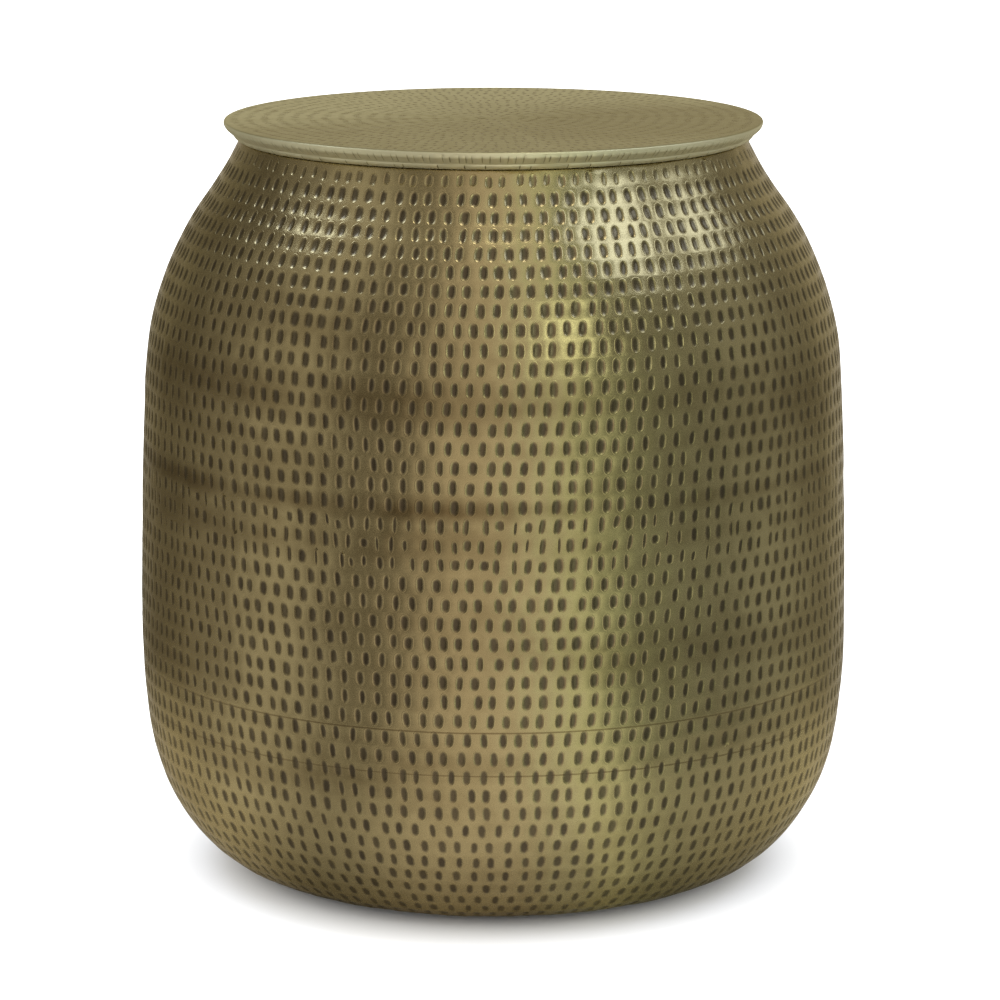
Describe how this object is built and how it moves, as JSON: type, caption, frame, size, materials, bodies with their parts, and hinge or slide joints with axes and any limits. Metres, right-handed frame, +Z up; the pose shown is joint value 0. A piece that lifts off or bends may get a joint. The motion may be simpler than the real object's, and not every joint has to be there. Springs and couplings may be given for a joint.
{
  "type": "drum side table",
  "caption": "Barrel-shaped hammered metal side table: a hollow spun drum on small feet with a flat, round, lift-off lid that serves as the table top.",
  "frame": {"origin": "on the ground under the feet, on the drum's axis", "axes": "+Z up along the drum's axis; -Y towards the camera of the picture"},
  "size_m": [0.4064, 0.4064, 0.4318],
  "materials": {
    "drum_sheet": "hammered, antiqued: dark patina in the hammer marks",
    "lid_sheet": "hammered, antiqued, rubbed back a little more than the drum",
    "inner_sheet": "plain satin sheet",
    "wire": "drawn wire",
    "pads": "matt black rubber",
    "fasteners": "zinc plated"
  },
  "bodies": {
    "drum": {"upper_shell": "drum_sheet", "lower_shell": "drum_sheet", "waist_strap": "inner_sheet", "mouth_rim_wire": "wire", "foot_pads": "pads", "foot_screws": "fasteners", "foot_washers": "fasteners", "foot_nuts": "fasteners"},
    "lid": {"lid_top": "lid_sheet", "lid_collar": "inner_sheet"}
  },
  "joints": [
    {"name": "lid_lift", "type": "slide", "parent": "drum", "child": "lid", "axis": [0, 0, 1], "range_m": [0, 0.15]}
  ]
}
